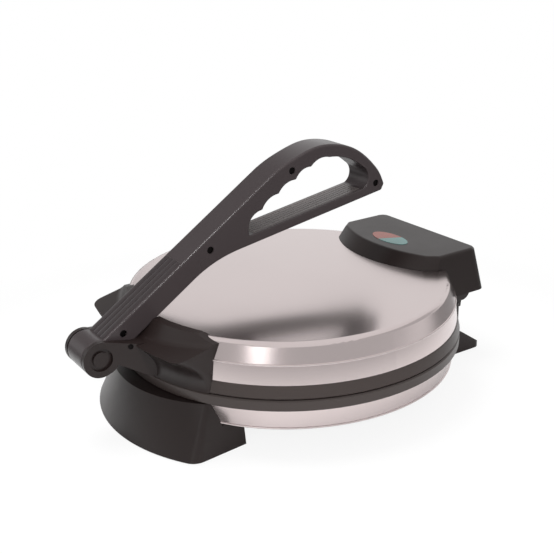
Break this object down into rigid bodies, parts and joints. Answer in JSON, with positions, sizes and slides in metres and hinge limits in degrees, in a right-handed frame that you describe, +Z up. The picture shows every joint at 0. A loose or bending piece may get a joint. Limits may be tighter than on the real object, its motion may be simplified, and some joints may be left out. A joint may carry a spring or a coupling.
{
  "type": "electric roti maker",
  "caption": "Round electric flatbread press with a steel hinged lid, black rims and feet, and a long pressing lever with a finger grip folded back over the lid.",
  "frame": {"origin": "centre of the whole footprint on the table, under the body's mid-plane", "axes": "+Z up, front with the lever's pivot towards -Y, lid hinge towards +Y"},
  "size_m": [0.3058, 0.3926, 0.2167],
  "materials": {
    "steel": "satin polished",
    "black_plastic": "satin",
    "lever_plastic": "satin",
    "coated_plate": "non-stick coating",
    "element_steel": "matt",
    "zinc_steel": "plated",
    "rubber": "matt",
    "ceramic": "matt",
    "red_lens": "clear tinted",
    "green_lens": "clear tinted",
    "lamp": "clear"
  },
  "bodies": {
    "base": {"base_skirt": "steel", "base_rim_ring": "black_plastic", "lower_cooking_plate": "coated_plate", "lower_heating_element": "element_steel", "lower_heat_shield": "zinc_steel", "lower_plate_screws": "zinc_steel", "thermostat": "ceramic", "thermal_fuse": "ceramic", "terminal_block": "ceramic", "bottom_cover": "black_plastic", "cover_screws": "zinc_steel", "front_foot": "black_plastic", "rear_foot": "black_plastic", "foot_pads": "rubber", "foot_screws": "zinc_steel", "hinge_block": "black_plastic", "cord_bushing": "rubber", "hinge_pin": "zinc_steel"},
    "lid": {"lid_rim_ring": "black_plastic", "lid_cover": "steel", "upper_cooking_plate": "coated_plate", "upper_heating_element": "element_steel", "upper_heat_shield": "zinc_steel", "upper_plate_screws": "zinc_steel", "hinge_housing": "black_plastic", "red_lens": "red_lens", "green_lens": "green_lens", "indicator_lamps": "lamp", "front_bracket": "black_plastic", "pivot_pin": "zinc_steel"},
    "lever": {"lever_right_shell": "lever_plastic", "lever_left_shell": "lever_plastic", "lever_screws": "zinc_steel"}
  },
  "joints": [
    {"name": "lid_hinge", "type": "hinge", "parent": "base", "child": "lid", "pos_m": [0, 0.17135, 0.064], "axis": [-1, 0, 0], "range_deg": [0, 105]},
    {"name": "lever_pivot", "type": "hinge", "parent": "lid", "child": "lever", "pos_m": [0, -0.18125, 0.0772], "axis": [1, 0, 0], "range_deg": [0, 135]}
  ]
}
